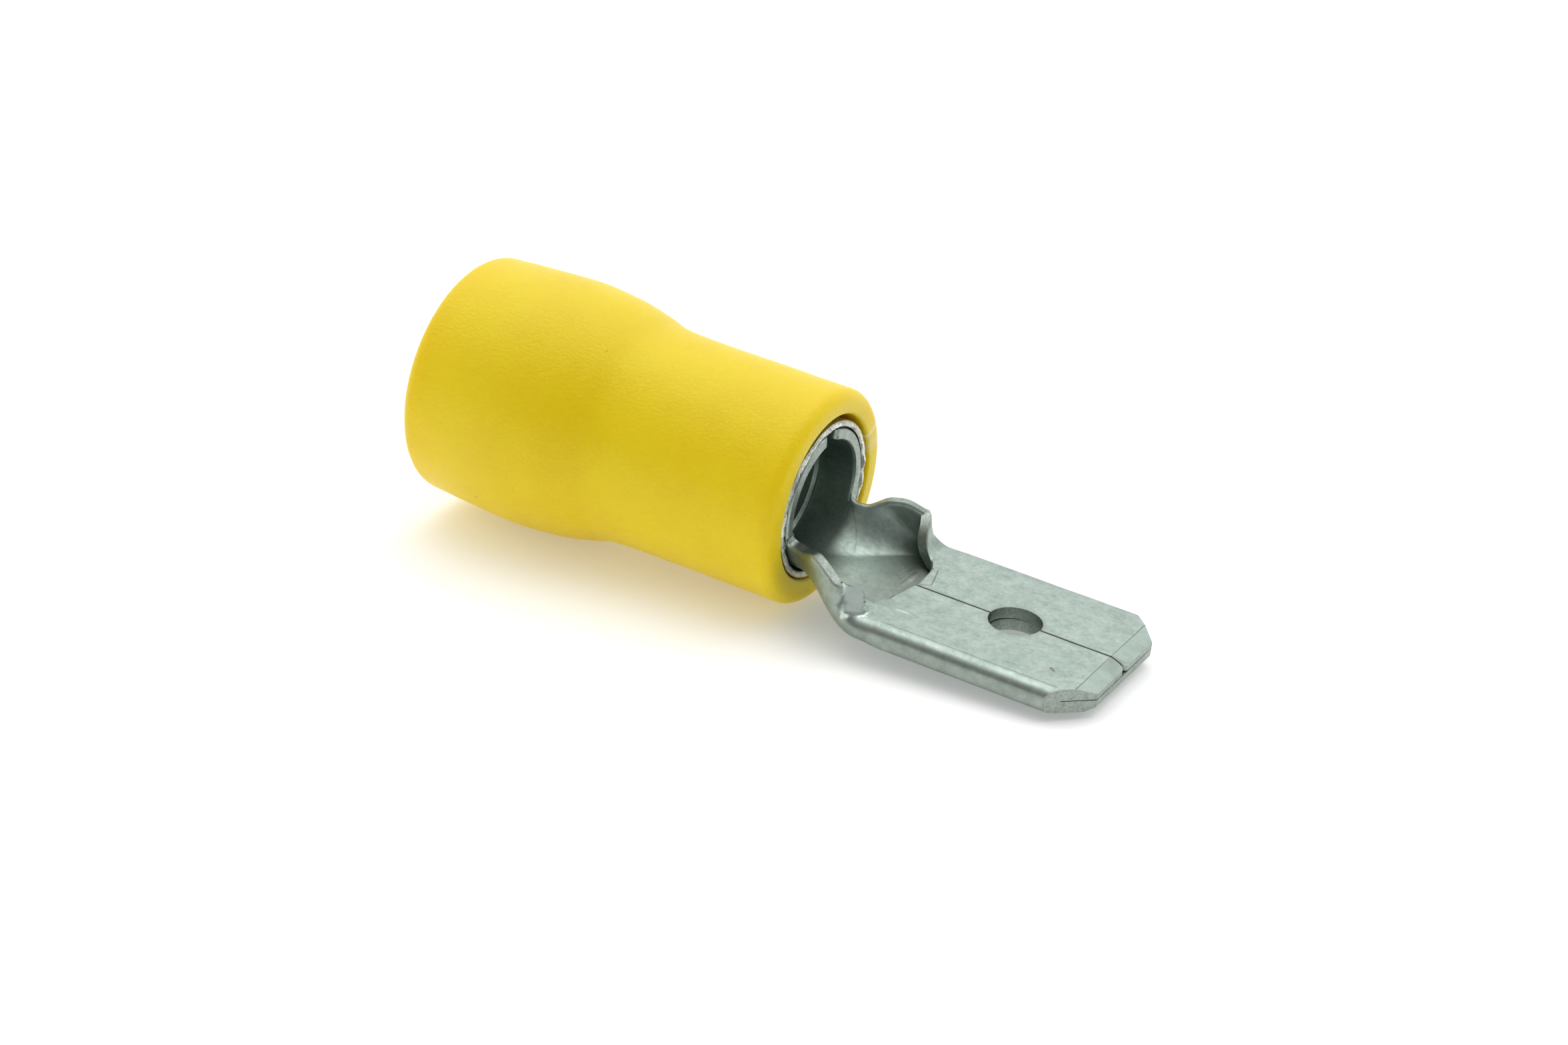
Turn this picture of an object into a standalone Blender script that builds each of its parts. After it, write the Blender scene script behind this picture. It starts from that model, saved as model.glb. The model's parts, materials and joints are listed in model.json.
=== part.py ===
"""Insulated male tab terminal, double crimp type, for a 4 to 6 mm2 wire.

Three pieces: a folded sheet-metal tab with its rolled wire barrel, a thin metal sleeve round the
barrel that also grips the wire's insulation, and the moulded insulating sleeve over both.

Each piece is modelled along the terminal's own axis: x is 0 at the tab's tip and negative
towards the wire entry, and z is 0 on the tab's upper face. The empty "lie" then tips the whole
terminal so that it lies on a flat surface as a loose one does, and puts the origin in the middle
of its footprint.
"""

import math

import bmesh
import bpy
from mathutils import Matrix, Vector

MM = 0.001

# Tab, folded from sheet, so two layers thick
SHEET = 0.385 * MM
LAYER_GAP = 0.03 * MM
TAB_THICKNESS = 2 * SHEET + LAYER_GAP
TAB_WIDTH = 6.3 * MM
TAB_LENGTH = 7.2 * MM
LEAF_SEAM = 0.06 * MM
HOLE_DIAMETER = 1.7 * MM
HOLE_FROM_TIP = 3.74 * MM
CORNER_CHAMFER = 1.2 * MM
LEAD_IN_LENGTH = 0.5 * MM
LEAD_IN_DEPTH = 0.22 * MM
LEAD_IN_LENGTH_BELOW = 0.25 * MM
LEAD_IN_DEPTH_BELOW = 0.14 * MM

# Neck, the open trough between tab and barrel
NECK_LENGTH = 3.45 * MM
NOTCH_HEIGHT = 0.9 * MM
NOTCH_LENGTH = 0.45 * MM
HUMP_HEIGHT = 1.2 * MM
HUMP_FROM_BARREL = 1.25 * MM
BROW_HEIGHT = 0.95 * MM
FOLD_LENGTH = 0.9 * MM
ROOT_STRIP = 0.35 * MM
LEAF_EDGE_INSET = 1.35 * MM

# Wire barrel
BARREL_RADIUS = 2.1 * MM
BARREL_LENGTH = 6.4 * MM
BARREL_SEAM = 0.4 * MM
AXIS_HEIGHT = 1.764 * MM
SERRATIONS = 3
SERRATION_FROM_FRONT = 1.35 * MM
SERRATION_PITCH = 1.5 * MM
SERRATION_WIDTH = 0.24 * MM
SERRATION_DEPTH = 0.11 * MM

# Metal sleeve round the barrel
SLEEVE_WALL = 0.2 * MM
BARREL_CLEARANCE = 0.08 * MM
SLEEVE_RECESS = 0.05 * MM
SLEEVE_GRIP_RADIUS = 3.25 * MM
SLEEVE_GRIP_LENGTH = 2.8 * MM
SLEEVE_FLARE_LEAD = 0.9875 * MM

# Insulating sleeve
BORE_CLEARANCE = 0.08 * MM
INSULATION_FRONT_GAP = 0.05 * MM
FRONT_WALL = 0.8775 * MM
INSULATION_FRONT_LENGTH = 5.85 * MM
SHOULDER_LENGTH = 3.95 * MM
BELLY_WALL = 0.805 * MM
REAR_LENGTH = 3.6 * MM
REAR_TAPER = 0.205 * MM
FRONT_ROUND = 0.5 * MM
REAR_ROUND = 0.4 * MM
BORE_CHAMFER = 0.1 * MM
ENTRY_CHAMFER = 0.35 * MM
LIP_GAP = 0.1 * MM

TURN_STEPS = 48
ARC_STEPS = 4
SHOULDER_STEPS, TAPER_STEPS, FLARE_STEPS = 9, 4, 5
HOLE_STEPS = 32
SHARP_ANGLE = 30
FLOOR_CELLS, BEND_CELLS, WALL_CELLS, CLOSING_CELLS = 2, 8, 3, 12
CUT_MARGIN = 0.5 * MM

# Places that follow from the sizes
BARREL_FRONT = -TAB_LENGTH - NECK_LENGTH
BARREL_REAR = BARREL_FRONT - BARREL_LENGTH
TAB_ROOT = -TAB_LENGTH - ROOT_STRIP
FOLD_START = TAB_ROOT - FOLD_LENGTH
NOTCH_END = BARREL_FRONT + NOTCH_LENGTH
HUMP = BARREL_FRONT + HUMP_FROM_BARREL
BARREL_OUTER = BARREL_RADIUS + SHEET / 2
BARREL_FLOOR = AXIS_HEIGHT - BARREL_RADIUS
TAB_FLOOR = SHEET / 2 - TAB_THICKNESS
FOLD_RADIUS = (TAB_THICKNESS - SHEET) / 2
TAB_FLAT = TAB_WIDTH / 2 - TAB_THICKNESS / 2
SLEEVE_INNER = BARREL_OUTER + BARREL_CLEARANCE
SLEEVE_OUTER = SLEEVE_INNER + SLEEVE_WALL
BORE_RADIUS = SLEEVE_OUTER + BORE_CLEARANCE
SEAT_RADIUS = SLEEVE_GRIP_RADIUS + BORE_CLEARANCE
INSULATION_RADIUS = BORE_RADIUS + FRONT_WALL
BELLY_RADIUS = SEAT_RADIUS + BELLY_WALL
REAR_RADIUS = BELLY_RADIUS - REAR_TAPER
INSULATION_FRONT = BARREL_FRONT + INSULATION_FRONT_GAP
SLEEVE_FRONT = INSULATION_FRONT - SLEEVE_RECESS
SHOULDER_START = INSULATION_FRONT - INSULATION_FRONT_LENGTH
SHOULDER_END = SHOULDER_START - SHOULDER_LENGTH
INSULATION_REAR = SHOULDER_END - REAR_LENGTH
GRIP_START = SHOULDER_END + SLEEVE_FLARE_LEAD
SLEEVE_REAR = GRIP_START - SLEEVE_GRIP_LENGTH
FLARE_START = min(SHOULDER_START, BARREL_REAR) - INSULATION_FRONT_GAP


def clear_scene():
    """Remove every object that the startup file brings."""
    for obj in list(bpy.data.objects):
        bpy.data.objects.remove(obj, do_unlink=True)


def new_collection(name, hidden=False):
    """Return a new collection under the scene's own."""
    collection = bpy.data.collections.new(name)
    collection.hide_render = hidden
    bpy.context.scene.collection.children.link(collection)
    return collection


def new_material(name, colour, metallic, roughness):
    """Return a Principled material."""
    material = bpy.data.materials.new(name)
    material.use_nodes = True
    shader = material.node_tree.nodes["Principled BSDF"]
    shader.inputs["Base Color"].default_value = (*colour, 1.0)
    shader.inputs["Metallic"].default_value = metallic
    shader.inputs["Roughness"].default_value = roughness
    return material


def new_object(name, mesh, collection, parent, material=None):
    """Link a mesh into a collection as a child of the parent."""
    obj = bpy.data.objects.new(name, mesh)
    collection.objects.link(obj)
    obj.parent = parent
    if material:
        mesh.materials.append(material)
    return obj


def as_cutter(obj):
    """Keep a helper out of renders and draw it as wire."""
    obj.hide_render = True
    obj.display_type = "WIRE"
    return obj


def cut(obj, cutter, name):
    """Subtract the cutter from the object with an exact Boolean."""
    boolean = obj.modifiers.new(name, "BOOLEAN")
    boolean.operation = "DIFFERENCE"
    boolean.solver = "EXACT"
    boolean.object = cutter


def smoothstep(start, end, at):
    """Rise from 0 to 1 between start and end, level at both."""
    share = min(max((at - start) / (end - start), 0.0), 1.0)
    return share * share * (3 - 2 * share)


def mix(first, second, share):
    """Blend two values."""
    return first + (second - first) * share


def rounded_corner(centre_radius, centre_height, size, start, end):
    """Points of an arc in (radius, height), with its angles in degrees from +radius."""
    points = []
    for step in range(ARC_STEPS + 1):
        angle = math.radians(mix(start, end, step / ARC_STEPS))
        radius = centre_radius + size * math.cos(angle)
        points.append((radius, centre_height + size * math.sin(angle)))
    return points


def s_curve(first, last, steps):
    """Points of a smooth shoulder between two (radius, height) points, without its ends."""
    points = []
    for step in range(1, steps):
        share = step / steps
        radius = mix(first[0], last[0], smoothstep(0, 1, share))
        points.append((radius, mix(first[1], last[1], share)))
    return points


def turned(name, profile, collection, parent, material=None):
    """Turn a closed (radius, height) profile round the terminal's axis, height along +x."""
    mesh = bpy.data.meshes.new(name)
    points = [(radius, 0.0, height) for radius, height in profile]
    edges = [(i, (i + 1) % len(points)) for i in range(len(points))]
    mesh.from_pydata(points, edges, [])
    obj = new_object(name, mesh, collection, parent, material)
    obj.location = (0, 0, AXIS_HEIGHT)
    obj.rotation_euler = (0, math.radians(90), 0)
    screw = obj.modifiers.new("turn", "SCREW")
    screw.axis = "Z"
    screw.angle = math.radians(360)
    screw.steps = screw.render_steps = TURN_STEPS
    screw.use_merge_vertices = True
    screw.merge_threshold = 1e-6
    screw.use_smooth_shade = True
    return obj


def outer_outline():
    """The insulating sleeve's outside from its front face to its rear face, as (radius, height)."""
    front = rounded_corner(
        INSULATION_RADIUS - FRONT_ROUND, INSULATION_FRONT - FRONT_ROUND, FRONT_ROUND, 90, 0
    )
    shoulder_start = (INSULATION_RADIUS, SHOULDER_START)
    belly = (BELLY_RADIUS, SHOULDER_END)
    rear_start = (REAR_RADIUS, INSULATION_REAR + REAR_ROUND)
    shoulder = [shoulder_start, *s_curve(shoulder_start, belly, SHOULDER_STEPS), belly]
    taper = s_curve(belly, rear_start, TAPER_STEPS)
    rear = rounded_corner(
        REAR_RADIUS - REAR_ROUND, INSULATION_REAR + REAR_ROUND, REAR_ROUND, 0, -90
    )
    return [*front, *shoulder, *taper, *rear]


def insulation_profile():
    """The insulating sleeve's closed profile: outside downwards, then the bore upwards."""
    lip_radius = SLEEVE_GRIP_RADIUS - SLEEVE_WALL
    seat_end = SLEEVE_REAR - LIP_GAP
    grip = (SEAT_RADIUS, GRIP_START)
    flare = (BORE_RADIUS, FLARE_START)
    bore = [
        (lip_radius + ENTRY_CHAMFER, INSULATION_REAR),
        (lip_radius, INSULATION_REAR + ENTRY_CHAMFER),
        (lip_radius, seat_end),
        (SEAT_RADIUS, seat_end),
        grip,
        *s_curve(grip, flare, FLARE_STEPS),
        flare,
        (BORE_RADIUS, INSULATION_FRONT - BORE_CHAMFER),
        (BORE_RADIUS + BORE_CHAMFER, INSULATION_FRONT),
    ]
    return [*outer_outline(), *bore]


def support_profile():
    """The metal sleeve's closed profile: a tube round the barrel that flares round the insulation."""
    front = (SLEEVE_OUTER, SLEEVE_FRONT)
    outer_flare = (SLEEVE_OUTER, FLARE_START)
    outer_grip = (SLEEVE_GRIP_RADIUS, GRIP_START)
    inner_flare = (SLEEVE_INNER, FLARE_START)
    inner_grip = (SLEEVE_GRIP_RADIUS - SLEEVE_WALL, GRIP_START)
    return [
        front,
        outer_flare,
        *s_curve(outer_flare, outer_grip, FLARE_STEPS),
        outer_grip,
        (SLEEVE_GRIP_RADIUS, SLEEVE_REAR),
        (SLEEVE_GRIP_RADIUS - SLEEVE_WALL, SLEEVE_REAR),
        inner_grip,
        *s_curve(inner_grip, inner_flare, FLARE_STEPS),
        inner_flare,
        (SLEEVE_INNER, SLEEVE_FRONT),
    ]


class Section:
    """The sheet's middle surface across the terminal at one place along it.

    Half of it, from the floor's middle outwards: a flat floor, a bend of one radius, and a
    straight wall or leaf. A point is named by its distance along the sheet from the middle.
    """

    def __init__(self, along):
        share = smoothstep(BARREL_FRONT, TAB_ROOT, along)
        folding = smoothstep(FOLD_START, TAB_ROOT, along)
        self.flat = TAB_FLAT * share
        self.radius = mix(BARREL_RADIUS, FOLD_RADIUS, share)
        self.floor = mix(BARREL_FLOOR, TAB_FLOOR, share)
        self.turn = math.pi if along <= BARREL_FRONT else mix(math.pi / 2, math.pi, folding)

    def point(self, along_sheet):
        """The (y, z) place of a point of the sheet."""
        if along_sheet <= self.flat:
            return along_sheet, self.floor
        angle = min((along_sheet - self.flat) / self.radius, self.turn)
        rest = along_sheet - self.flat - angle * self.radius
        across = self.flat + self.radius * math.sin(angle) + rest * math.cos(self.turn)
        height = self.radius * (1 - math.cos(angle)) + rest * math.sin(self.turn)
        return across, self.floor + height

    def reach(self, height):
        """The distance along the sheet at which an upright wall has this height."""
        above = height - self.floor
        if above < self.radius:
            return self.flat + self.radius * math.acos(1 - above / self.radius)
        return self.flat + self.radius * math.pi / 2 + above - self.radius


def neck_edge():
    """Places along the neck with the sheet distance of its upper edge, from barrel to tab."""
    leaf = 2 * TAB_FLAT + math.pi * FOLD_RADIUS
    return [
        (BARREL_FRONT, Section(BARREL_FRONT).reach(NOTCH_HEIGHT)),
        (NOTCH_END, Section(NOTCH_END).reach(NOTCH_HEIGHT)),
        (HUMP, Section(HUMP).reach(HUMP_HEIGHT)),
        (FOLD_START, Section(FOLD_START).reach(BROW_HEIGHT)),
        (TAB_ROOT, leaf - LEAF_EDGE_INSET - ROOT_STRIP),
        (-TAB_LENGTH, leaf - LEAF_EDGE_INSET),
    ]


def edge_at(along, edge):
    """The sheet distance of the neck's upper edge, blended between its named places."""
    for (start, low), (end, high) in zip(edge, edge[1:]):
        if along <= end:
            return mix(low, high, smoothstep(start, end, along))
    return edge[-1][1]


def sheet_places(section, lower, upper):
    """Distances along the sheet for one station: floor, bend and wall, then the closing part."""
    cells = FLOOR_CELLS + BEND_CELLS + WALL_CELLS
    floor_end = max(section.flat, lower * FLOOR_CELLS / cells)
    whole_bend = section.flat + section.radius * section.turn
    even_bend = mix(floor_end, lower, BEND_CELLS / (BEND_CELLS + WALL_CELLS))
    bend_end = min(whole_bend, even_bend)
    places = [floor_end * i / FLOOR_CELLS for i in range(FLOOR_CELLS)]
    places += [mix(floor_end, bend_end, i / BEND_CELLS) for i in range(BEND_CELLS)]
    places += [mix(bend_end, lower, i / WALL_CELLS) for i in range(WALL_CELLS)]
    return places + [mix(lower, upper, i / CLOSING_CELLS) for i in range(CLOSING_CELLS + 1)]


def terminal_stations():
    """Places along the terminal where the sheet's section is laid out, rear to tip."""
    stations = [BARREL_REAR, BARREL_FRONT]
    for start, end, steps in (
        (BARREL_FRONT, NOTCH_END, 3),
        (NOTCH_END, HUMP, 4),
        (HUMP, FOLD_START, 3),
        (FOLD_START, TAB_ROOT, 7),
        (TAB_ROOT, -TAB_LENGTH, 2),
    ):
        stations += [mix(start, end, i / steps) for i in range(1, steps + 1)]
    return [*stations, 0.0]


def sheet_mesh():
    """Half of the terminal's middle surface: the barrel and the tab close over, the neck is open."""
    edge = neck_edge()
    barrel_reach = BARREL_RADIUS * math.pi - BARREL_SEAM / 2
    leaf_reach = 2 * TAB_FLAT + math.pi * FOLD_RADIUS - LEAF_SEAM / 2
    stations = terminal_stations()
    shape = bmesh.new()
    rows = []
    for along in stations:
        section = Section(along)
        lower = edge_at(along, edge)
        closes = along <= BARREL_FRONT or along >= -TAB_LENGTH
        upper = barrel_reach if along <= BARREL_FRONT else leaf_reach
        places = sheet_places(section, lower, upper)
        count = len(places) if closes else len(places) - CLOSING_CELLS
        row = [shape.verts.new((along, *section.point(place))) for place in places[:count]]
        rows.append(row)
    for near, far in zip(rows, rows[1:]):
        for i in range(min(len(near), len(far)) - 1):
            shape.faces.new((near[i], far[i], far[i + 1], near[i + 1]))
    mesh = bpy.data.meshes.new("tab_terminal")
    bmesh.ops.delete(shape, geom=[v for v in shape.verts if not v.link_faces], context="VERTS")
    shape.to_mesh(mesh)
    shape.free()
    return mesh


def box_cutter(name, size, centre, turn, collection, parent):
    """A box for cutting, turned about its centre."""
    shape = bmesh.new()
    bmesh.ops.create_cube(shape, size=1.0)
    placing = Matrix.Translation(centre) @ turn @ Matrix.Diagonal((*size, 1.0))
    bmesh.ops.transform(shape, matrix=placing, verts=shape.verts)
    mesh = bpy.data.meshes.new(name)
    shape.to_mesh(mesh)
    shape.free()
    return as_cutter(new_object(name, mesh, collection, parent))


def hole_cutter(collection, parent):
    """The cylinder that makes the tab's hole through both layers."""
    shape = bmesh.new()
    bmesh.ops.create_cone(
        shape,
        cap_ends=True,
        segments=HOLE_STEPS,
        radius1=HOLE_DIAMETER / 2,
        radius2=HOLE_DIAMETER / 2,
        depth=TAB_THICKNESS + 2 * CUT_MARGIN,
        matrix=Matrix.Translation((-HOLE_FROM_TIP, 0, -TAB_THICKNESS / 2)),
    )
    mesh = bpy.data.meshes.new("tab_hole_cutter")
    shape.to_mesh(mesh)
    shape.free()
    return as_cutter(new_object("tab_hole_cutter", mesh, collection, parent))


def tip_cutters(collection, parent):
    """Boxes for the tab's two corner chamfers and its lead-in bevels above and below."""
    side = 2 * TAB_WIDTH
    cutters = []
    for name, sign in (("near_corner_cutter", -1), ("far_corner_cutter", 1)):
        normal = Vector((1, sign, 0)).normalized()
        corner = Vector((-CORNER_CHAMFER / 2, sign * (TAB_WIDTH - CORNER_CHAMFER) / 2, 0))
        turn = Matrix.Rotation(math.radians(45 * sign), 4, "Z")
        centre = corner + normal * side / 2
        size = (side, side, 4 * TAB_THICKNESS)
        cutters.append(box_cutter(name, size, centre, turn, collection, parent))
    for name, sign, length, depth, face in (
        ("upper_lead_in_cutter", 1, LEAD_IN_LENGTH, LEAD_IN_DEPTH, 0.0),
        ("lower_lead_in_cutter", -1, LEAD_IN_LENGTH_BELOW, LEAD_IN_DEPTH_BELOW, -TAB_THICKNESS),
    ):
        slope = math.atan2(depth, length)
        normal = Vector((math.sin(slope), 0, sign * math.cos(slope)))
        middle = Vector((-length / 2, 0, face - sign * depth / 2))
        turn = Matrix.Rotation(sign * slope, 4, "Y")
        size = (TAB_LENGTH / 2, side, side)
        centre = middle + normal * side / 2
        cutters.append(box_cutter(name, size, centre, turn, collection, parent))
    return cutters


def serration_cutters(collection, parent):
    """Rings that cut the grip lines round the inside of the barrel."""
    bore = BARREL_RADIUS - SHEET / 2
    cutters = []
    for i in range(SERRATIONS):
        place = BARREL_FRONT - SERRATION_FROM_FRONT - i * SERRATION_PITCH
        profile = [
            (bore + SERRATION_DEPTH, place),
            (bore - SERRATION_DEPTH, place - SERRATION_WIDTH),
            (bore - SERRATION_DEPTH, place + SERRATION_WIDTH),
        ]
        cutter = turned(f"serration_cutter_{i + 1}", profile, collection, parent)
        cutters.append(as_cutter(cutter))
    return cutters


def tab_terminal(collection, cutter_collection, parent):
    """The stamped terminal: tab, neck and wire barrel in one piece of sheet."""
    material = new_material("tinned_brass", (0.62, 0.63, 0.60), 1.0, 0.3)
    obj = new_object("tab_terminal", sheet_mesh(), collection, parent, material)
    mirror = obj.modifiers.new("both_sides", "MIRROR")
    mirror.use_axis = (False, True, False)
    mirror.merge_threshold = 1e-6
    solidify = obj.modifiers.new("sheet", "SOLIDIFY")
    solidify.thickness = SHEET
    solidify.offset = 0.0
    solidify.use_even_offset = True
    cutters = [
        hole_cutter(cutter_collection, parent),
        *tip_cutters(cutter_collection, parent),
        *serration_cutters(cutter_collection, parent),
    ]
    for cutter in cutters:
        cut(obj, cutter, cutter.name.replace("_cutter", ""))
    obj.data.shade_smooth()
    obj.data.set_sharp_from_angle(angle=math.radians(SHARP_ANGLE))
    return obj


def support_sleeve(collection, parent):
    """The thin metal sleeve between the barrel and the insulating sleeve."""
    material = new_material("tinned_copper", (0.66, 0.66, 0.62), 1.0, 0.38)
    return turned("support_sleeve", support_profile(), collection, parent, material)


def insulating_sleeve(collection, parent):
    """The moulded yellow sleeve, narrow round the barrel and wide round the wire's insulation."""
    material = new_material("yellow_pvc", (0.80, 0.62, 0.02), 0.0, 0.45)
    return turned("insulating_sleeve", insulation_profile(), collection, parent, material)


def lie_angle():
    """The slope of the line under the insulating sleeve's front end and its belly.

    The terminal's weight is between the two, so it lies on them with the tab's tip just clear.
    A tip that reaches below that line carries the front end instead.
    """
    outline = [(along, AXIS_HEIGHT - radius) for radius, along in outer_outline()]
    front_places = [place for place in outline if place[0] > SHOULDER_START]
    front_places.append((-LEAD_IN_LENGTH_BELOW, -TAB_THICKNESS))
    rear_places = [place for place in outline if place[0] < SHOULDER_START]
    slopes = []
    for rear_x, rear_z in rear_places:
        slopes.append(min((z - rear_z) / (x - rear_x) for x, z in front_places))
    return math.atan(max(slopes))


def settle(parent, pieces):
    """Tip the parent to the lie angle and move the pieces' footprint onto the origin."""
    parent.rotation_euler = (0, lie_angle(), 0)
    bpy.context.view_layer.update()
    graph = bpy.context.evaluated_depsgraph_get()
    corners = []
    for piece in pieces:
        shown = piece.evaluated_get(graph)
        mesh = shown.to_mesh()
        corners += [shown.matrix_world @ vertex.co for vertex in mesh.vertices]
        shown.to_mesh_clear()
    lowest = Vector([min(corner[i] for corner in corners) for i in range(3)])
    highest = Vector([max(corner[i] for corner in corners) for i in range(3)])
    middle = (lowest + highest) / 2
    parent.location = (-middle.x, -middle.y, -lowest.z)


def main():
    """Build the terminal."""
    clear_scene()
    collection = new_collection("insulated_tab_terminal")
    cutter_collection = new_collection("cutters", hidden=True)
    lie = bpy.data.objects.new("lie", None)
    collection.objects.link(lie)
    pieces = [
        tab_terminal(collection, cutter_collection, lie),
        support_sleeve(collection, lie),
        insulating_sleeve(collection, lie),
    ]
    settle(lie, pieces)


main()
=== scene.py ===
"""Looks of an insulated male tab terminal: folded tab and barrel, metal sleeve, yellow insulation.

Every piece is shaped in millimetres on the terminal's own axes, x being 0 at the tab's tip and
negative towards the wire entry, and z being 0 on the tab's upper face. The lie then carries its
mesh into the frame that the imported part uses, in metres.
"""

import json
import logging
import math
from contextlib import contextmanager
from dataclasses import dataclass
from enum import Enum
from typing import Any, Callable, Iterator, Sequence

import bpy
from mathutils import Matrix, Vector, noise


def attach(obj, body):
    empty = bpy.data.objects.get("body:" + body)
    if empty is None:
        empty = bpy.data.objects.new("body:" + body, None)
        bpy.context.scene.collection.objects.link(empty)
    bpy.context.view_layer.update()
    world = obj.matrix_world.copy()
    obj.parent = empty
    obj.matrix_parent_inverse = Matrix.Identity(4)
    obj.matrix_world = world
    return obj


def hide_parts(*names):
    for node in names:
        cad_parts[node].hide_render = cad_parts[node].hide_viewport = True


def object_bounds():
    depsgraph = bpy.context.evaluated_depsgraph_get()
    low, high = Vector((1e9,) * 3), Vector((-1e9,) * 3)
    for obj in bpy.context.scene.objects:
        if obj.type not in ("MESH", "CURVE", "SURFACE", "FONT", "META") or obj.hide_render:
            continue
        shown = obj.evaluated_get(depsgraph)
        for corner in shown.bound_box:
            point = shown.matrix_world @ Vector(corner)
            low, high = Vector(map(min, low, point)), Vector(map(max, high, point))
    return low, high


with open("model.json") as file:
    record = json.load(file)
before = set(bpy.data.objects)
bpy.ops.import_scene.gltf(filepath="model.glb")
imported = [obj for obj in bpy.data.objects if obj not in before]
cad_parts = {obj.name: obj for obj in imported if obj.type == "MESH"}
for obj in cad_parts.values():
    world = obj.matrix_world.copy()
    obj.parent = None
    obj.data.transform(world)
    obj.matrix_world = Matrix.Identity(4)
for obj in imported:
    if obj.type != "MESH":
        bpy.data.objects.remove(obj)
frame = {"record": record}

CAD_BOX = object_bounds()
BODY = "root"
MM = 0.001
PER_MM = 1 / MM
MERGE = 1e-5

log = logging.getLogger("tab_terminal")

Triple = tuple[float, float, float]
Colour = Triple
Point = tuple[float, float]
Piece = bpy.types.Object
Socket = bpy.types.NodeSocket
Material = bpy.types.Material


# ---- Small sums ----


def mix(first: float, second: float, share: float) -> float:
    """Blend two values."""
    return first + (second - first) * share


def smoothstep(start: float, end: float, at: float) -> float:
    """Rise from 0 to 1 between start and end, level at both."""
    share = min(max((at - start) / (end - start), 0.0), 1.0)
    return share * share * (3 - 2 * share)


def bump(centre: float, width: float, at: float) -> float:
    """A smooth hump of height 1 at the centre that has gone at the width on either side."""
    return smoothstep(width, 0.0, abs(at - centre))


def spread(start: float, end: float, steps: int) -> list[float]:
    """Even places after the start, up to and with the end."""
    return [mix(start, end, i / steps) for i in range(1, steps + 1)]


def closing_in(start: float, end: float, steps: int) -> list[float]:
    """Places after the start that come closer together towards the end."""
    return [mix(start, end, math.sin(math.pi / 2 * i / steps)) for i in range(1, steps + 1)]


def opening_out(start: float, end: float, steps: int) -> list[float]:
    """Places after the start that begin close together."""
    return [mix(start, end, 1 - math.cos(math.pi / 2 * i / steps)) for i in range(1, steps + 1)]


def arc(centre: Point, size: float, start: float, end: float, steps: int) -> list[Point]:
    """Points of an arc in (radius, along), with its angles in degrees from +radius."""
    points = []
    for i in range(steps + 1):
        angle = math.radians(mix(start, end, i / steps))
        points.append((centre[0] + size * math.cos(angle), centre[1] + size * math.sin(angle)))
    return points


def straight(radius: float, start: float, end: float, steps: int) -> list[Point]:
    """Points after the start of a straight run at one radius, in (radius, along)."""
    return [(radius, along) for along in spread(start, end, steps)]


def flare(start: Point, end: Point, steps: int) -> list[Point]:
    """Points after the start of an S-shaped run between two places in (radius, along)."""
    (first, rear), (last, front) = start, end
    return [(mix(first, last, smoothstep(rear, front, along)), along) for along in spread(rear, front, steps)]


def corner_loss(size: float, inward: float) -> float:
    """What a round corner takes off an edge at a distance inside it."""
    return size - math.sqrt(max(size**2 - inward**2, 0.0)) if inward > 0 else 0.0


def through(knots: Sequence[Point], at: float) -> float:
    """Read a value off a smooth curve through named places, which never overshoots them.

    Args:
        knots: The places and their values, in order.
        at: The place to read.

    Returns:
        The value there.
    """
    if at <= knots[0][0]:
        return knots[0][1]
    if at >= knots[-1][0]:
        return knots[-1][1]
    slopes = [(high - low) / (end - start) for (start, low), (end, high) in zip(knots, knots[1:])]
    tangents = [slopes[0]]
    for before, after in zip(slopes, slopes[1:]):
        turns = before * after <= 0
        tangents.append(0.0 if turns else 2 * before * after / (before + after))
    tangents.append(slopes[-1])
    i = next(i for i, (end, _) in enumerate(knots[1:]) if at <= end)
    (start, low), (end, high) = knots[i], knots[i + 1]
    span = end - start
    t = (at - start) / span
    ease = t * t * (3 - 2 * t)
    lean = span * (t * (1 - t) ** 2 * tangents[i] - t * t * (1 - t) * tangents[i + 1])
    return mix(low, high, ease) + lean


# ---- Where the terminal lies ----


@dataclass(frozen=True)
class Lie:
    """The place of the terminal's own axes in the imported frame."""

    place: Matrix

    @classmethod
    def from_record(cls, record: dict[str, Any]) -> "Lie":
        """Read the lie off the mount under the tab.

        Args:
            record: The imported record.

        Returns:
            The lie, which turns millimetres on the terminal's axes into metres in the frame.
        """
        mount = next(m for m in record["mounts"] if m["name"] == "tab_underside")
        mount_on_tab = Vector((-5.6, 0.0, -0.8)) * MM
        down = Vector(mount["axis"])
        pitch = math.atan2(-down.x, -down.z)
        turn = Matrix.Rotation(pitch, 4, "Y")
        origin = Vector(mount["pos_m"]) - turn @ mount_on_tab
        return cls(Matrix.Translation(origin) @ turn @ Matrix.Scale(MM, 4))

    def settle(self, piece: Piece) -> None:
        """Carry a piece's mesh from the terminal's axes into the frame."""
        piece.data.transform(self.place)
        piece.data.update()


# ---- Bench tools ----


def add(name: str, shape: Callable[..., Any], **settings: Any) -> Piece:
    """Add a plain shape and name it.

    Args:
        name: The piece's name, which its mesh takes too.
        shape: The operator that adds the shape.
        settings: The operator's own settings.

    Returns:
        The piece.
    """
    bpy.ops.object.select_all(action="DESELECT")
    shape(**settings)
    piece = bpy.context.active_object
    piece.name = name
    piece.data.name = name
    return piece


def take_hold(piece: Piece) -> None:
    """Select one piece alone and make it the active one."""
    bpy.ops.object.select_all(action="DESELECT")
    piece.select_set(True)
    bpy.context.view_layer.objects.active = piece


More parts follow.
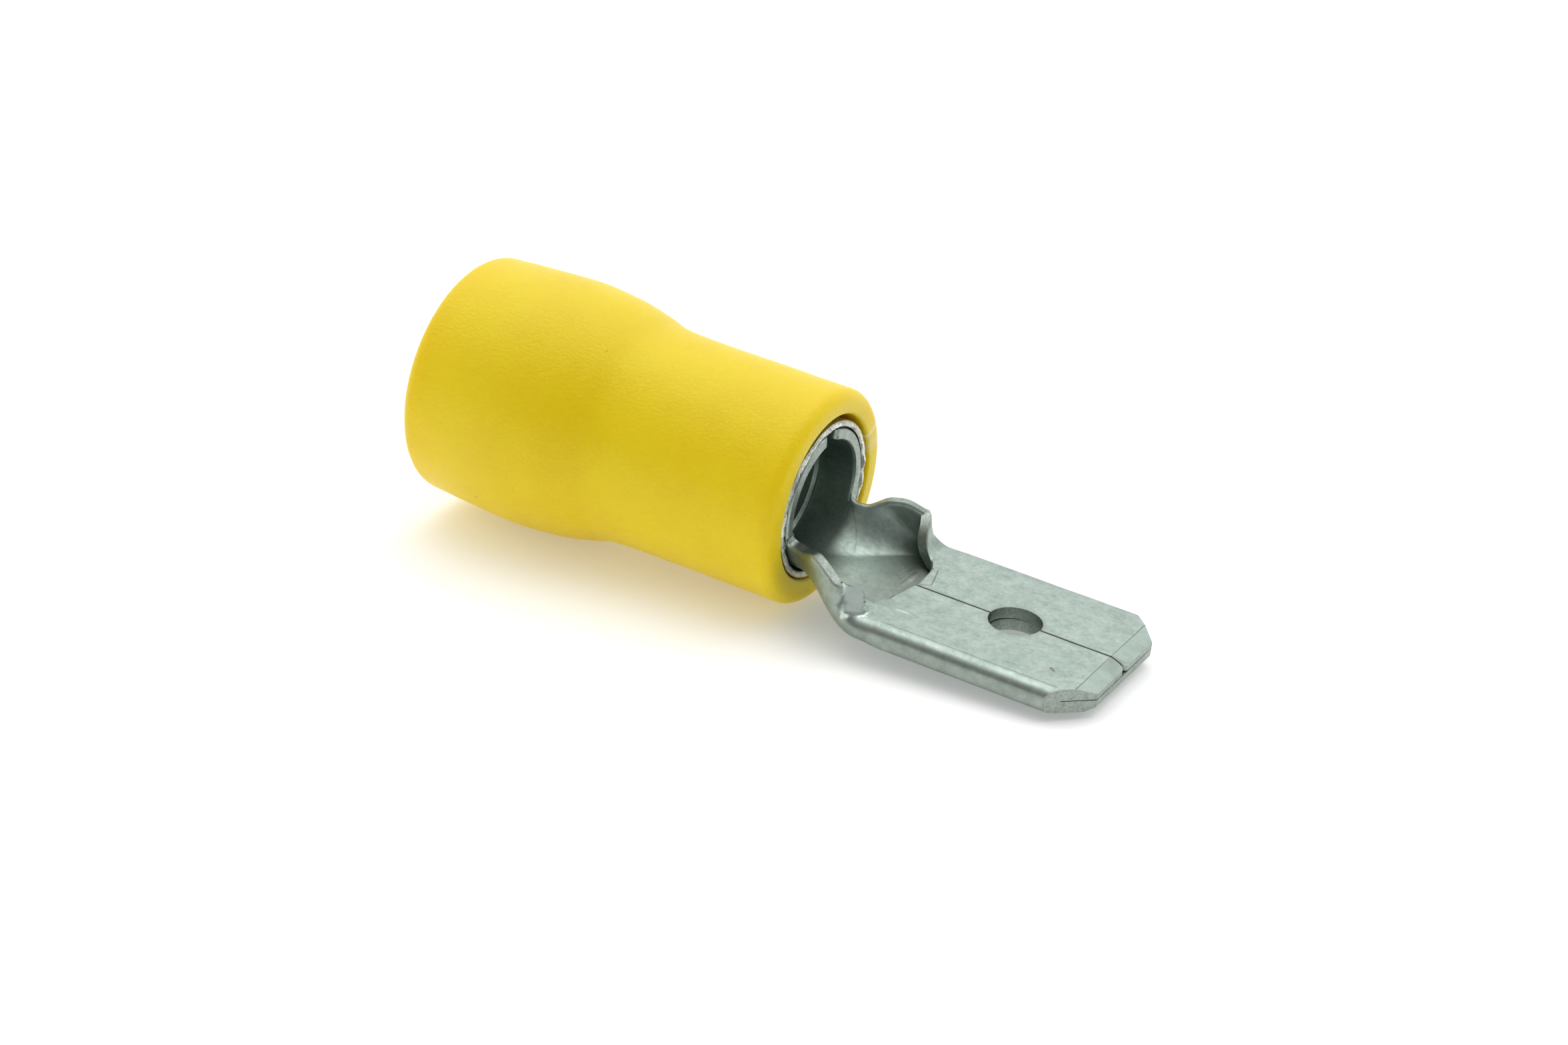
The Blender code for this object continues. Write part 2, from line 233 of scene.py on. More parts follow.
@contextmanager
def edit_mode(piece: Piece) -> Iterator[None]:
    """Open one piece in edit mode and come back to object mode.

    Args:
        piece: The piece to edit.

    Returns:
        A context in which the edit operators act on the piece.
    """
    take_hold(piece)
    bpy.ops.object.mode_set(mode="EDIT")
    yield
    bpy.ops.object.mode_set(mode="OBJECT")


def close_up(piece: Piece) -> None:
    """Merge a piece's doubles and turn its faces outwards."""
    with edit_mode(piece):
        bpy.ops.mesh.select_all(action="SELECT")
        bpy.ops.mesh.remove_doubles(threshold=MERGE)
        bpy.ops.mesh.normals_make_consistent(inside=False)


def apply_modifier(piece: Piece, kind: str, **settings: Any) -> None:
    """Add a modifier to a piece and apply it.

    Args:
        piece: The piece.
        kind: The modifier's type.
        settings: The modifier's own settings.
    """
    modifier = piece.modifiers.new(kind.lower(), kind)
    for name, value in settings.items():
        setattr(modifier, name, value)
    take_hold(piece)
    bpy.ops.object.modifier_apply(modifier=modifier.name)


def cut_away(piece: Piece, cutter: Piece) -> None:
    """Take a cutter's shape out of a piece, dress the cut as the cutter is, and drop the cutter.

    Args:
        piece: The piece to cut.
        cutter: The closed shape to take away.
    """
    apply_modifier(
        piece,
        "BOOLEAN",
        object=cutter,
        operation="DIFFERENCE",
        solver="EXACT",
        material_mode="TRANSFER",
    )
    bpy.data.objects.remove(cutter, do_unlink=True)


def turn_round(name: str, profile: Sequence[Point], axis_height: float, steps: int) -> Piece:
    """Turn a closed profile round the terminal's axis.

    Args:
        name: The piece's name.
        profile: Points as (radius, along).
        axis_height: The height of the axis.
        steps: The number of faces round the piece.

    Returns:
        The closed piece.
    """
    piece = add(name, bpy.ops.mesh.primitive_circle_add, vertices=len(profile), radius=1.0)
    for vertex, (radius, along) in zip(piece.data.vertices, profile):
        vertex.co = (along, 0.0, axis_height + radius)
    with edit_mode(piece):
        bpy.ops.mesh.select_all(action="SELECT")
        bpy.ops.mesh.spin(
            steps=steps, angle=math.tau, center=(0.0, 0.0, axis_height), axis=(1.0, 0.0, 0.0)
        )
    close_up(piece)
    return piece


def lay_out_pattern(piece: Piece, places: Sequence[Point]) -> None:
    """Write each corner's place on the flat sheet, in millimetres, as the piece's UV map.

    Args:
        piece: The piece.
        places: The place of each of its vertices.
    """
    layer = piece.data.uv_layers.active or piece.data.uv_layers.new(name="sheet")
    layer.name = "sheet"
    for loop in piece.data.loops:
        layer.data[loop.index].uv = places[loop.vertex_index]


def shade_by_angle(piece: Piece, degrees: float) -> None:
    """Shade a piece smooth except across edges sharper than this angle."""
    take_hold(piece)
    bpy.ops.object.shade_smooth_by_angle(angle=math.radians(degrees))


# ---- Finishes ----


class Pattern(Enum):
    """What a material's pattern is measured along."""

    OBJECT = "Object"
    SHEET = "UV"


class Nodes:
    """A node tree, built up one node after another."""

    def __init__(self, tree: bpy.types.NodeTree) -> None:
        """Take up a tree.

        Args:
            tree: The tree of a material or of the world.
        """
        self.tree = tree

    def node(self, kind: str, inputs: dict[Any, Any] | None = None, **settings: Any) -> bpy.types.Node:
        """Add a node.

        Args:
            kind: The node's type without "ShaderNode".
            inputs: Values or sockets for its inputs, by name or number.
            settings: The node's own settings.

        Returns:
            The node.
        """
        made = self.tree.nodes.new("ShaderNode" + kind)
        for name, value in settings.items():
            setattr(made, name, value)
        for name, value in (inputs or {}).items():
            if isinstance(value, Socket):
                self.tree.links.new(value, made.inputs[name])
            else:
                made.inputs[name].default_value = value
        return made

    def sum(self, operation: str, first: Any, second: Any) -> Socket:
        """Two values put through a Math node."""
        return self.node("Math", {0: first, 1: second}, operation=operation).outputs[0]

    def between(
        self,
        value: Socket,
        low: float,
        high: float,
        to_low: float = 0.0,
        to_high: float = 1.0,
    ) -> Socket:
        """A value carried from one range to another, and held inside it."""
        inputs = {"Value": value, "From Min": low, "From Max": high}
        inputs |= {"To Min": to_low, "To Max": to_high}
        return self.node("MapRange", inputs).outputs["Result"]


class Recipe(Nodes):
    """A Principled material's nodes."""

    def __init__(self, name: str) -> None:
        """Start a material with its shader and output only.

        Args:
            name: The material's name.
        """
        self.material = bpy.data.materials.new(name)
        self.material.use_nodes = True
        super().__init__(self.material.node_tree)
        self.shader = self.tree.nodes["Principled BSDF"]

    def place(self, pattern: Pattern, scale: Triple, turn: Triple = (0.0, 0.0, 0.0)) -> Socket:
        """Coordinates for a pattern.

        Args:
            pattern: What the pattern follows.
            scale: Pattern units to one unit of the coordinates, along each axis.
            turn: The pattern's turn, in radians.

        Returns:
            The vector socket.
        """
        where = self.node("TexCoord").outputs[pattern.value]
        inputs = {"Vector": where, "Scale": scale, "Rotation": turn}
        return self.node("Mapping", inputs).outputs["Vector"]

    def noise(self, where: Socket, scale: float, detail: float = 2.0, rough: float = 0.5) -> Socket:
        """A noise value around 0.5."""
        inputs = {"Vector": where, "Scale": scale, "Detail": detail, "Roughness": rough}
        return self.node("TexNoise", inputs).outputs[0]

    def blend(self, share: Any, first: Any, second: Any, kind: str = "MIX") -> Socket:
        """Two colours mixed."""
        made = self.node("Mix", data_type="RGBA", blend_type=kind)
        for slot, value in ((0, share), (6, first), (7, second)):
            socket = made.inputs[slot]
            if isinstance(value, Socket):
                self.tree.links.new(value, socket)
            else:
                socket.default_value = value if isinstance(value, float) else (*value, 1.0)
        return made.outputs[2]

    def stroke(self, where: Socket, start: Point, end: Point, half_width: float) -> Socket:
        """A mask for a straight line drawn between two places.

        Args:
            where: The coordinates that the places are in.
            start: One end.
            end: The other end.
            half_width: The distance from the line at which the mask has gone.

        Returns:
            The mask, 1 on the line.
        """
        first = Vector((*start, 0.0))
        run = Vector((*end, 0.0)) - first
        away = self.node("VectorMath", {0: where, 1: first}, operation="SUBTRACT").outputs["Vector"]
        per_run = run / run.length_squared
        dot = self.node("VectorMath", {0: away, 1: per_run}, operation="DOT_PRODUCT")
        share = self.between(dot.outputs["Value"], 0.0, 1.0)
        foot = self.node("VectorMath", {0: run, "Scale": share}, operation="SCALE").outputs["Vector"]
        apart = self.node("VectorMath", {0: away, 1: foot}, operation="DISTANCE").outputs["Value"]
        return self.between(apart, 0.4 * half_width, half_width, 1.0, 0.0)

    def raise_by(self, height: Socket, depth: float, before: Socket | None = None) -> Socket:
        """A bump.

        Args:
            height: The pattern, from 0 to 1.
            depth: Its depth in metres.
            before: A bump to add this one to.

        Returns:
            The normal socket.
        """
        inputs = {"Height": height, "Strength": 1.0, "Distance": depth}
        if before:
            inputs["Normal"] = before
        return self.node("Bump", inputs).outputs["Normal"]

    def set(self, **sockets: Any) -> None:
        """Give the shader's sockets their values or links, with _ for a space in their names."""
        for name, value in sockets.items():
            socket = self.shader.inputs[name.replace("_", " ")]
            if isinstance(value, Socket):
                self.tree.links.new(value, socket)
            else:
                socket.default_value = value


@dataclass(frozen=True)
class MouldedPvc:
    """Matte yellow insulation with an eroded grain, light flecks and a few dark specks."""

    name: str = "moulded_yellow_pvc"
    colour: Colour = (0.87, 0.655, 0.0)
    deep_colour: Colour = (0.84, 0.61, 0.0)
    fleck_colour: Colour = (0.92, 0.80, 0.03)
    speck_colour: Colour = (0.30, 0.20, 0.02)
    scuff_colour: Colour = (0.92, 0.86, 0.45)
    sheen_colour: Colour = (1.0, 0.98, 0.70)
    bleed: Triple = (1.0, 0.30, 0.02)
    flecked_share: float = 0.22
    specks_left_out: float = 0.86
    speck_share: float = 0.55
    grain_depth: float = 28e-6
    fine_depth: float = 2.5e-6

    def material(self) -> Material:
        """Make the material."""
        recipe = Recipe(self.name)
        where = recipe.place(Pattern.OBJECT, (PER_MM,) * 3)
        drawn = recipe.place(Pattern.OBJECT, (0.7 * PER_MM, PER_MM, PER_MM))
        cloud = recipe.noise(where, 0.45, 3.0)
        grain = recipe.noise(drawn, 10.0, 4.0, 0.6)
        fine = recipe.noise(where, 22.0, 2.0)
        cells = recipe.node("TexVoronoi", {"Vector": where, "Scale": 1.1, "Randomness": 1.0})
        pick = recipe.node("SeparateColor", {"Color": cells.outputs["Color"]}).outputs[0]
        chosen = recipe.sum("GREATER_THAN", pick, self.specks_left_out)
        near = recipe.between(cells.outputs["Distance"], 0.035, 0.065, 1.0, 0.0)
        speck = recipe.sum("MULTIPLY", recipe.sum("MULTIPLY", near, chosen), self.speck_share)
        body = recipe.blend(recipe.between(cloud, 0.35, 0.65), self.deep_colour, self.colour)
        fleck = recipe.between(grain, 0.52, 0.72, 0.0, self.flecked_share)
        flecked = recipe.blend(fleck, body, self.fleck_colour)
        scuffed = recipe.node("Attribute", attribute_name="scuff").outputs["Fac"]
        worn = recipe.blend(scuffed, flecked, self.scuff_colour)
        colour = recipe.blend(speck, worn, self.speck_colour)
        rough = recipe.between(grain, 0.3, 0.7, 0.46, 0.34)
        grained = recipe.raise_by(grain, self.grain_depth)
        normal = recipe.raise_by(fine, self.fine_depth, grained)
        recipe.set(
            Base_Color=colour,
            Roughness=rough,
            Normal=normal,
            IOR=1.5,
            Specular_IOR_Level=0.40,
            Specular_Tint=(*self.sheen_colour, 1.0),
            Subsurface_Weight=0.35,
            Subsurface_Radius=self.bleed,
            Subsurface_Scale=1.0 * MM,
        )
        return recipe.material


@dataclass(frozen=True)
class Stroke:
    """A line on the flat sheet, in millimetres along it and across it."""

    start: Point
    end: Point
    half_width: float = 0.03
    strength: float = 0.7
    bright: bool = False


@dataclass(frozen=True)
class TinPlate:
    """Satin tin plating with cloudy tone, rolled scratches, a brown tarnish in its folds, and painted shade
    on the trough's floor and along the seam.
    """

    name: str = "tin_plate"
    light: Colour = (0.42, 0.50, 0.455)
    dark: Colour = (0.26, 0.33, 0.295)
    tarnish_and_shade: Colour = (0.14, 0.11, 0.08)
    scratch: Colour = (0.80, 0.84, 0.80)
    roughness: float = 0.40
    line_depth: float = 2.2e-6
    tick_depth: float = 1.6e-6
    fine_depth: float = 0.6e-6
    strokes: tuple[Stroke, ...] = ()

    def material(self) -> Material:
        """Make the material."""
        recipe = Recipe(self.name)
        where = recipe.place(Pattern.OBJECT, (PER_MM,) * 3)
        rolled = recipe.place(Pattern.SHEET, (1.0, 1.0, 1.0))
        along = recipe.place(Pattern.SHEET, (0.30, 8.0, 1.0), (0.0, 0.0, 0.07))
        short = recipe.place(Pattern.SHEET, (1.4, 12.0, 1.0), (0.0, 0.0, -0.5))
        cloud = recipe.noise(where, 2.3, 5.0, 0.68)
        dapple = recipe.noise(rolled, 7.0, 4.0, 0.65)
        lines = recipe.noise(along, 3.0, 4.0, 0.6)
        ticks = recipe.noise(short, 2.2, 3.0, 0.55)
        fine = recipe.noise(where, 30.0, 2.0)
        tone = recipe.sum("ADD", recipe.sum("MULTIPLY", cloud, 0.6), recipe.sum("MULTIPLY", dapple, 0.4))
        body = recipe.blend(recipe.between(tone, 0.36, 0.62), self.dark, self.light)
        dulled = recipe.blend(recipe.between(lines, 0.56, 0.68, 0.0, 0.40), body, self.dark)
        scored = recipe.blend(recipe.between(ticks, 0.60, 0.72, 0.0, 0.35), dulled, self.light)
        # The tarnish attribute carries brown tarnish and painted shade, on the trough's floor and along the
        # seam.
        tarnished_and_shaded = recipe.node("Attribute", attribute_name="tarnish_and_shade").outputs["Fac"]
        patch = recipe.sum("MULTIPLY", tarnished_and_shaded, recipe.between(dapple, 0.28, 0.55))
        colour = recipe.blend(patch, scored, self.tarnish_and_shade)
        for line in self.strokes:
            mask = recipe.stroke(rolled, line.start, line.end, line.half_width)
            ink = self.scratch if line.bright else self.tarnish_and_shade
            colour = recipe.blend(recipe.sum("MULTIPLY", mask, line.strength), colour, ink)
        rough = recipe.between(tone, 0.3, 0.7, self.roughness + 0.06, self.roughness - 0.05)
        lined = recipe.raise_by(lines, self.line_depth)
        ticked = recipe.raise_by(ticks, self.tick_depth, lined)
        normal = recipe.raise_by(fine, self.fine_depth, ticked)
        recipe.set(Base_Color=colour, Roughness=rough, Normal=normal, Metallic=1.0)
        return recipe.material


@dataclass(frozen=True)
class ShearedMetal:
    """The grey, finely torn face that shearing leaves on sheet."""

    name: str = "sheared_metal"
    light: Colour = (0.34, 0.39, 0.35)
    dark: Colour = (0.23, 0.265, 0.235)
    roughness: float = 0.40
    grain: float = 12.0
    depth: float = 3e-6

    def material(self) -> Material:
        """Make the material."""
        recipe = Recipe(self.name)
        where = recipe.place(Pattern.OBJECT, (PER_MM,) * 3)
        torn = recipe.noise(where, self.grain, 4.0, 0.65)
        cloud = recipe.noise(where, 2.0, 3.0)
        tone = recipe.sum("ADD", recipe.sum("MULTIPLY", torn, 0.6), recipe.sum("MULTIPLY", cloud, 0.4))
        colour = recipe.blend(recipe.between(tone, 0.38, 0.60), self.dark, self.light)
        rough = recipe.between(torn, 0.3, 0.7, self.roughness + 0.1, self.roughness - 0.08)
        normal = recipe.raise_by(torn, self.depth)
        recipe.set(Base_Color=colour, Roughness=rough, Normal=normal, Metallic=1.0)
        return recipe.material


@dataclass(frozen=True)
class WhiteSweep:
    """The plain pale table that the terminal lies on, faintly lit from below."""

    name: str = "white_sweep"
    colour: Colour = (0.92, 0.92, 0.92)
    glow: float = 0.23

    def material(self) -> Material:
        """Make the material."""
        recipe = Recipe(self.name)
        recipe.set(Base_Color=(*self.colour, 1.0), Roughness=1.0, Specular_IOR_Level=0.0)
        recipe.set(Emission_Color=(1.0, 1.0, 1.0, 1.0), Emission_Strength=self.glow)
        return recipe.material


# ---- Insulating sleeve ----


@dataclass
class InsulatingSleeve:
    """The moulded yellow sleeve: narrow over the barrel, wide over the wire's own insulation.

    The nick and the smear are worn places on the front rim, each given as its turn round the
    axis and its width, in degrees, and its strength.
    """

    axis_height: float = 1.764
    front: float = -10.60
    rear: float = -24.00
    front_radius: float = 3.53
    outline: tuple[Point, ...] = (
        (-24.0, 3.93),
        (-22.4, 4.04),
        (-20.5, 4.135),
        (-19.0, 4.02),
        (-17.9, 3.80),
        (-17.2, 3.61),
        (-16.4, 3.55),
        (-15.0, 3.53),
    )
    front_round: float = 0.42
    rear_round: float = 0.4
    bore_radius: float = 2.6525
    mouth_round: float = 0.14
    mouth_start: float = -11.2
    seat_radius: float = 3.33
    entry_radius: float = 3.05
    entry_chamfer: float = 0.35
    chamfer_round: float = 0.06
    seat_end: float = -22.3125
    grip_start: float = -19.4125
    flare_start: float = -17.10
    crescent: float = 0.10
    crescent_depth: float = 0.9
    swell: float = 0.012
    ripple: float = 0.006
    nick: Triple = (28.0, 3.0, 0.85)
    smear: Triple = (18.0, 9.0, 0.4)
    steps: int = 192

    def outside(self) -> list[Point]:
        """The outside from the front face to the rear face."""
        front_centre = (self.front_radius - self.front_round, self.front - self.front_round)
        points = arc(front_centre, self.front_round, 90, 0, 10)
        rear_start = self.rear + self.rear_round
        for along in spread(self.front - self.front_round, rear_start, 90):
            points.append((through(self.outline, along), along))
        end_radius = points[-1][0]
        points += arc((end_radius - self.rear_round, rear_start), self.rear_round, 0, -90, 8)[1:]
        return points

    def bore(self) -> list[Point]:
        """The bore from the wire entry up to the front face."""
        chamfer_end = self.rear + self.entry_chamfer
        points = [
            (self.entry_radius + self.entry_chamfer, self.rear),
            (self.entry_radius + self.chamfer_round, chamfer_end - self.chamfer_round),
            (self.entry_radius, chamfer_end + self.chamfer_round),
            (self.entry_radius, self.seat_end),
            (self.seat_radius, self.seat_end),
            (self.seat_radius, self.grip_start),
        ]
        points += flare((self.seat_radius, self.grip_start), (self.bore_radius, self.flare_start), 12)
        points += straight(self.bore_radius, self.flare_start, self.mouth_start, 6)
        mouth = (self.bore_radius + self.mouth_round, self.front - self.mouth_round)
        return points + arc(mouth, self.mouth_round, 180, 90, 6)

    def unevenness(self, place: Vector) -> float:
        """How far the moulding stands off its true radius at a point of its outside."""
        return self.swell * noise.noise(place * 0.45) + self.ripple * noise.noise(place * 1.3)

    def build(self, finish: Material) -> Piece:
        """Make the sleeve.

        Args:
            finish: The insulation's material.

        Returns:
            The sleeve, on the terminal's axes.
        """
        piece = turn_round(
            "yellow_insulation", [*self.outside(), *self.bore()], self.axis_height, self.steps
        )
        for vertex in piece.data.vertices:
            away = Vector((0.0, vertex.co.y, vertex.co.z - self.axis_height))
            if away.length > self.seat_radius + 0.05:
                vertex.co += away.normalized() * (self.unevenness(vertex.co) - self.swell)
            elif vertex.co.x > self.front - self.crescent_depth and away.length < 3.0:
                behind = smoothstep(self.front - self.crescent_depth, self.front - 0.2, vertex.co.x)
                upwards = smoothstep(0.35, 1.0, away.normalized().z)
                vertex.co += away.normalized() * self.crescent * upwards * behind
        scuff = piece.data.attributes.new("scuff", "FLOAT", "POINT")
        for vertex in piece.data.vertices:
            scuff.data[vertex.index].value = self.scuff_at(vertex.co)
        piece.data.materials.append(finish)
        shade_by_angle(piece, 40)
        return piece

    def scuff_at(self, place: Vector) -> float:
        """How worn the front rim is: a pale nick on its far side, with a smear below it."""
        turn = math.degrees(math.atan2(place.z - self.axis_height, place.y))
        radius = math.hypot(place.z - self.axis_height, place.y)
        if place.x < self.front - 0.35 or radius > self.front_radius - 0.12:
            return 0.0
        return max(strength * bump(at, width, turn) for at, width, strength in (self.nick, self.smear))


# ---- Support sleeve ----


@dataclass
class SupportSleeve:
    """The thin metal sleeve round the barrel, with a torn front edge and a flared grip."""

    axis_height: float = 1.764
    drop: float = 0.03
    front: float = -10.65
    inner_radius: float = 2.3725
    wall: float = 0.2
    grip_radius: float = 3.25
    flare_start: float = -17.10
    grip_start: float = -19.4125
    rear: float = -22.2125
    lip: float = 0.05
    tear: float = 0.045
    torn_depth: float = 0.12
    edge_band: float = 0.07
    steps: int = 240

    def profile(self) -> list[Point]:
        """The closed profile: outside from the front edge to the rear, then back up the inside."""
        lip, inner = self.lip, self.inner_radius
        outer, inner_grip = inner + self.wall, self.grip_radius - self.wall
        points = [(outer - lip, self.front), (outer, self.front - lip)]
        points += straight(outer, self.front - lip, self.flare_start, 10)
        points += flare((outer, self.flare_start), (self.grip_radius, self.grip_start), 12)
        points += straight(self.grip_radius, self.grip_start, self.rear + lip, 4)
        points += [(self.grip_radius - lip, self.rear), (inner_grip + lip, self.rear)]
        points += [(inner_grip, self.rear + lip), (inner_grip, self.grip_start)]
        points += flare((inner_grip, self.grip_start), (inner, self.flare_start), 12)
        points += straight(inner, self.flare_start, self.front - lip, 10)
        return points + [(inner + lip, self.front), (inner + self.wall / 2, self.front)]

    def build(self, plate: Material, torn: Material) -> Piece:
        """Make the sleeve.

        Args:
            plate: The material of its rolled faces.
            torn: The material of its front and rear edges.

        Returns:
            The sleeve, on the terminal's axes.
        """
        height = self.axis_height - self.drop
        piece = turn_round("support_tube", self.profile(), height, self.steps)
        for vertex in piece.data.vertices:
            at_front = smoothstep(self.front - self.torn_depth, self.front, vertex.co.x)
            if at_front:
                tear = noise.noise(vertex.co * 3.1) + 0.7 * noise.noise(vertex.co * 9.0)
                vertex.co.x += self.tear * tear * at_front
        piece.data.materials.append(plate)
        piece.data.materials.append(torn)
        for face in piece.data.polygons:
            if min(abs(face.center.x - self.front), abs(face.center.x - self.rear)) < self.edge_band:
                face.material_index = 1
        shade_by_angle(piece, 35)
        return piece


# ---- Tab, neck and barrel ----


@dataclass(frozen=True)
class Section:
    """The sheet's middle surface across the terminal at one place along it.

    Half of it, from the floor's middle outwards: a flat floor, a bend of one radius, and a
    straight wall or leaf. A point is named by its distance along the sheet from the middle.
    """

    flat: float
    radius: float
    floor: float
    turn: float

    def angle(self, reach: float) -> float:
        """The sheet's direction at a distance along it, 0 being level."""
        return min(max(reach - self.flat, 0.0) / self.radius, self.turn)

    def point(self, reach: float) -> Point:
        """The (y, z) place of a point of the sheet."""
        if reach <= self.flat:
            return reach, self.floor
        angle = self.angle(reach)
        rest = reach - self.flat - angle * self.radius
        across = self.flat + self.radius * math.sin(angle) + rest * math.cos(self.turn)
        height = self.radius * (1 - math.cos(angle)) + rest * math.sin(self.turn)
        return across, self.floor + height

    def reach_of(self, height: float) -> float:
        """The distance along the sheet at which an upright wall has this height."""
        above = height - self.floor
        if above < self.radius:
            return self.flat + self.radius * math.acos(1 - above / self.radius)
        return self.flat + self.radius * math.pi / 2 + above - self.radius


class Side(Enum):
    """A side of the terminal, by the sign of y."""

    NEAR = -1
    FAR = 1


@dataclass(frozen=True)
class Half:
    """What differs between the terminal's two sides.

    Args:
        wall: The neck wall's upper edge, as (along, height), from the barrel to the fold.
        seam_half: Half of the barrel's seam.
        leaf_setback: How far the leaf's rear edge lies ahead of its true place, at the seam.
        leaf_slant: How far that edge falls back for each millimetre away from the seam.
    """

    wall: tuple[Point, ...]
    seam_half: float
    leaf_setback: float
    leaf_slant: float


@dataclass(frozen=True)
class PressedFlat:
    """A flat that the press leaves on the skin, rubbed bright, and lighter still as a painted highlight.

    Args:
        facing: The way it faces.
        middle: Its middle.
        upright: Half its height, where it is whole and where it has gone.
        sideways: Half its width, where it is whole and where it has gone.
        depth: The most that it moves the metal.
        reach: How far from its middle the metal may lie.
        least_facing: How nearly the metal has to face its way, as a cosine.
    """

    facing: Triple = (0.45, -0.55, 0.70)
    middle: Triple = (-7.91, -2.66, 0.36)
    upright: Point = (0.40, 0.58)
    sideways: Point = (0.30, 0.46)
    depth: float = 0.30
    reach: float = 1.2
    least_facing: float = 0.1


@dataclass
class TabTerminal:
    """The stamped sheet: a folded tab, an open trough of a neck and a rolled wire barrel."""

    sheet: float = 0.385
    layer_gap: float = 0.03
    tab_width: float = 6.3
    tab_length: float = 7.2
    leaf_seam: float = 0.05
    neck_length: float = 3.45
    barrel_radius: float = 2.1
    barrel_length: float = 6.4
    axis_height: float = 1.764
    root_strip: float = 0.35
    fold_length: float = 0.9
    fold_turn: tuple[Point, ...] = (
        (-8.45, 90.0),
        (-8.25, 120.0),
        (-8.09, 163.0),
        (-7.94, 174.0),
        (-7.55, 180.0),
    )
    leaf_edge_inset: float = 1.35
    hole_diameter: float = 1.7
    hole_from_tip: float = 3.74
    hole_shift: float = 0.035
    corner_chamfer: float = 1.2
    upper_lead: Point = (0.5, 0.2)
    lower_lead: Point = (0.25, 0.14)
    serration_places: tuple[float, ...] = (-12.0, -13.5, -15.0)
    serration_width: float = 0.12
    serration_depth: float = 0.1
    near: Half = Half(
        wall=((-10.65, 1.0), (-10.1, 1.06), (-9.5, 1.19), (-8.95, 1.0), (-8.46, 0.79)),
        seam_half=0.22,
        leaf_setback=-0.03,
        leaf_slant=0.16,
    )
    far: Half = Half(
        wall=((-10.65, 0.9), (-10.2, 0.92), (-9.46, 1.22), (-8.92, 1.2), (-8.42, 0.98)),
        seam_half=0.34,
        leaf_setback=0.03,
        leaf_slant=0.08,
    )
    corner_fillet: float = 0.28
    barrel_corner: float = 0.16
    tip_corner: float = 0.22
    slant_fade: float = 1.2
    slant_length: float = 0.7
    sheet_swell: float = 0.006
    floor_facet: tuple[Point, Point, Point] = ((-8.66, 1.77), (-7.79, 1.2), (-7.69, 0.37))
    facet_front: float = -7.7
    facet_depth: float = 0.03
    shoulder: PressedFlat = PressedFlat()
    lower_squareness: float = 3.6
    upper_squareness: float = 2.3
    squaring_length: float = 0.9
    crowded_rows: float = 0.3
    groove_rows: float = 0.14
    fold_rows: float = 0.1
    tip_rows: float = 0.25
    floor_cells: int = 12
    bend_cells: int = 26
    wall_cells: int = 8
    closing_cells: int = 26
    edge_round: float = 0.12
    edge_loss: float = 0.25
    seam_round: float = 0.03
    seam_loss: float = 0.12

    def __post_init__(self) -> None:
        """Work out the places that follow from the sizes."""
        self.thickness = 2 * self.sheet + self.layer_gap
        self.barrel_front = -self.tab_length - self.neck_length
        self.barrel_rear = self.barrel_front - self.barrel_length
        self.tab_root = -self.tab_length - self.root_strip
        self.fold_start = self.tab_root - self.fold_length
        self.fold_radius = (self.thickness - self.sheet) / 2
        self.tab_flat = self.tab_width / 2 - self.thickness / 2
        self.leaf = 2 * self.tab_flat + math.pi * self.fold_radius
        self.barrel_floor = self.axis_height - self.barrel_radius
        self.tab_floor = self.sheet / 2 - self.thickness

    def section(self, along: float) -> Section:
        """The sheet's section at a place along the terminal."""
        share = smoothstep(self.barrel_front, self.tab_root, along)
        closed = along <= self.barrel_front
        return Section(
            flat=self.tab_flat * share,
            radius=mix(self.barrel_radius, self.fold_radius, share),
            floor=mix(self.barrel_floor, self.tab_floor, share),
            turn=math.pi if closed else math.radians(through(self.fold_turn, along)),
        )

    def half(self, side: Side) -> Half:
        """The sizes of one side."""
        return self.near if side is Side.NEAR else self.far

    def edge_reach(self, along: float, side: Side) -> float:
        """How far the sheet goes up the neck's wall, with a fillet at the barrel and at the leaf."""
        knots = [(place, self.section(place).reach_of(height)) for place, height in self.half(side).wall]
        knots.append((self.tab_root, self.leaf - self.leaf_edge_inset - self.root_strip))
        knots.append((-self.tab_length, self.leaf - self.leaf_edge_inset))
        reach = through(knots, along)
        if self.barrel_front <= along <= -self.tab_length:
            for corner in (self.barrel_front, -self.tab_length):
                reach += corner_loss(self.corner_fillet, self.corner_fillet - abs(along - corner))
        return reach

    def full_reach(self, along: float, side: Side) -> float:
        """How far the closed parts of the sheet go: to the barrel's seam or to the leaves' seam."""
        if along <= self.barrel_front:
            whole = math.pi * self.barrel_radius - self.half(side).seam_half
            inward = self.barrel_corner - (self.barrel_front - along)
            return whole - corner_loss(self.barrel_corner, inward)
        whole = self.leaf - self.leaf_seam / 2
        return whole - corner_loss(self.tip_corner, self.tip_corner + along)

    def closes(self, along: float) -> bool:
        """Whether the sheet is rolled or folded right over here."""
        return along <= self.barrel_front or along >= -self.tab_length

